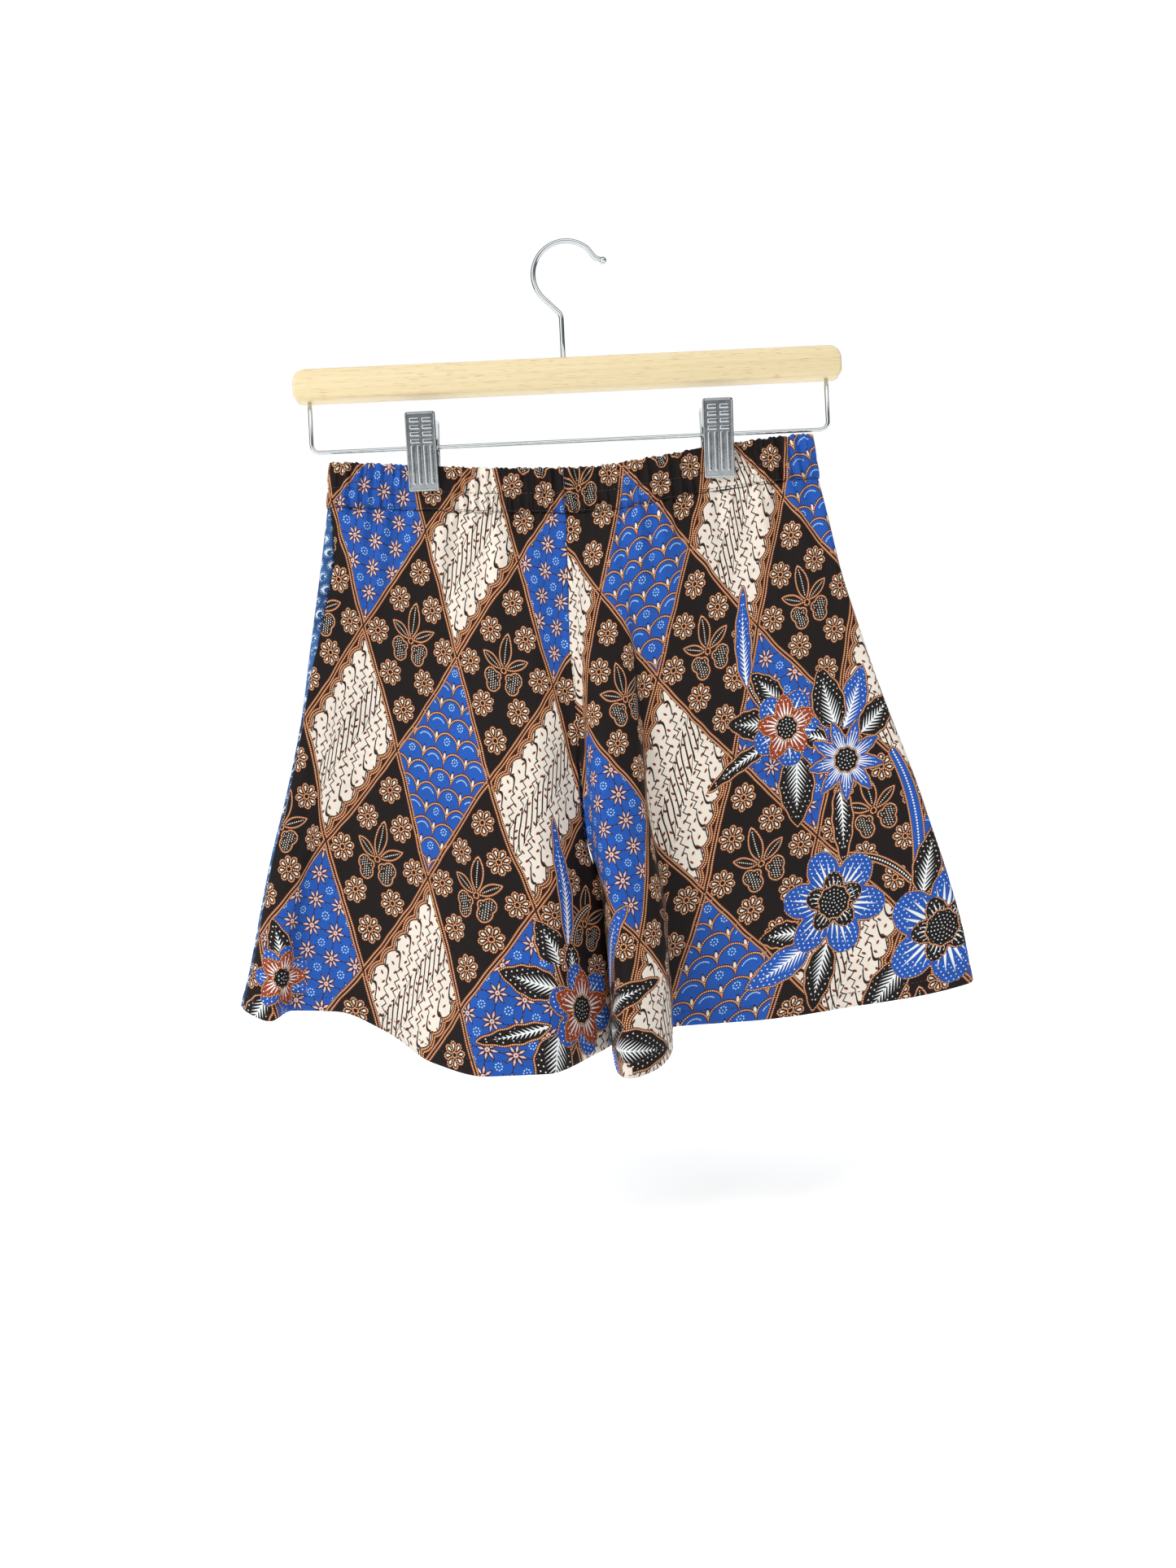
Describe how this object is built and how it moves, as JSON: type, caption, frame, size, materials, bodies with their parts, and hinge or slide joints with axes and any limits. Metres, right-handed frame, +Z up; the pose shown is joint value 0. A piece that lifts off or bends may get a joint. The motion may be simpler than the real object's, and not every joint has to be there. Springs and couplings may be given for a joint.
{
  "type": "batik skort on a clip hanger",
  "caption": "Wide-legged batik skort with a gathered elastic waist, held flat by spring clips on the wire rail of a pale wooden hanger.",
  "frame": {"origin": "inner top of the hanger's hook, where it rests on a rod or a wall hook", "axes": "+Z up, the skort's front faces -Y, +X to the right as seen from the front"},
  "size_m": [0.473, 0.0939, 0.5295],
  "materials": {
    "front_batik": "smooth printed woven cloth",
    "back_batik": "smooth printed woven cloth",
    "casing_batik": "smooth printed woven cloth, gathered",
    "pale_wood": "clear satin lacquer",
    "chromed_steel": "polished"
  },
  "bodies": {
    "root": {"front_left": "front_batik", "front_right": "front_batik", "back_left": "back_batik", "back_right": "back_batik", "waist_casing": "casing_batik", "hanger_bar": "pale_wood", "hanger_hook": "chromed_steel", "hanger_rail": "chromed_steel", "clip_left_front_jaw": "chromed_steel", "clip_left_back_jaw": "chromed_steel", "clip_left_spring": "chromed_steel", "clip_right_front_jaw": "chromed_steel", "clip_right_back_jaw": "chromed_steel", "clip_right_spring": "chromed_steel"}
  },
  "joints": []
}
